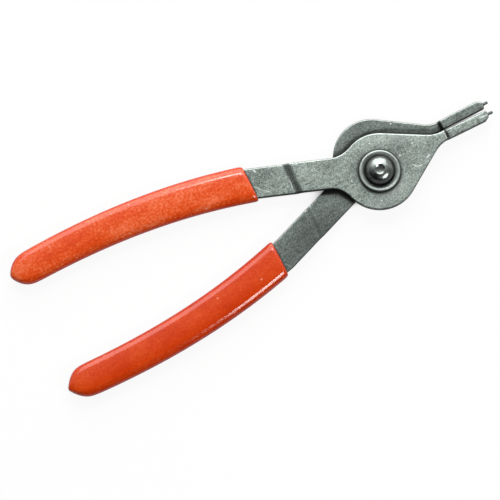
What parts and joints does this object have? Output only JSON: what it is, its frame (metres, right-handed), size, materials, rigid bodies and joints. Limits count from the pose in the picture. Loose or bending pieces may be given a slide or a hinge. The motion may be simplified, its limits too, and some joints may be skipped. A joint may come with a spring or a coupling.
{
  "type": "circlip pliers",
  "caption": "Convertible fixed-tip circlip pliers: two crossed joggled levers with dipped grips, on a spring-loaded push-button pivot that holds them in the internal position.",
  "frame": {"origin": "on the pivot axis, at the rear face of the plunger's flange", "axes": "+X along the tool to the tips, +Y to the front lever's handle, +Z out of the front face, along the button"},
  "size_m": [0.2077, 0.0673, 0.0153],
  "materials": {
    "forged_steel": "tumbled drop-forged steel, grey-green, mottled, satin",
    "forged_steel_back": "the same steel, a darker batch",
    "dipped_vinyl": "glossy orange-red dipped vinyl",
    "dipped_vinyl_back": "glossy orange-red dipped vinyl, a little deeper",
    "hardened_pin": "hardened and ground",
    "turned_steel": "turned, satin, slightly blackened",
    "blackened_button": "turned and blackened, semi-gloss",
    "spring_steel": "drawn wire, bright"
  },
  "bodies": {
    "front": {"front_lever": "forged_steel", "front_grip": "dipped_vinyl", "front_tip_pin": "hardened_pin", "pivot_bush": "turned_steel", "return_spring": "spring_steel"},
    "back": {"back_lever": "forged_steel_back", "back_grip": "dipped_vinyl_back", "back_tip_pin": "hardened_pin"},
    "button": {"push_button": "blackened_button", "pivot_plunger": "blackened_button"}
  },
  "joints": [
    {"name": "lever_pivot", "type": "hinge", "parent": "front", "child": "back", "pos_m": [0, 0, 0.0034], "axis": [0, 0, 1], "range_deg": [-0.5, 30]},
    {"name": "button_press", "type": "slide", "parent": "front", "child": "button", "axis": [0, 0, -1], "range_m": [0, 0.0025], "stiffness_N_per_m": 860, "springref_m": -0.003, "deforming": ["return_spring"]}
  ]
}
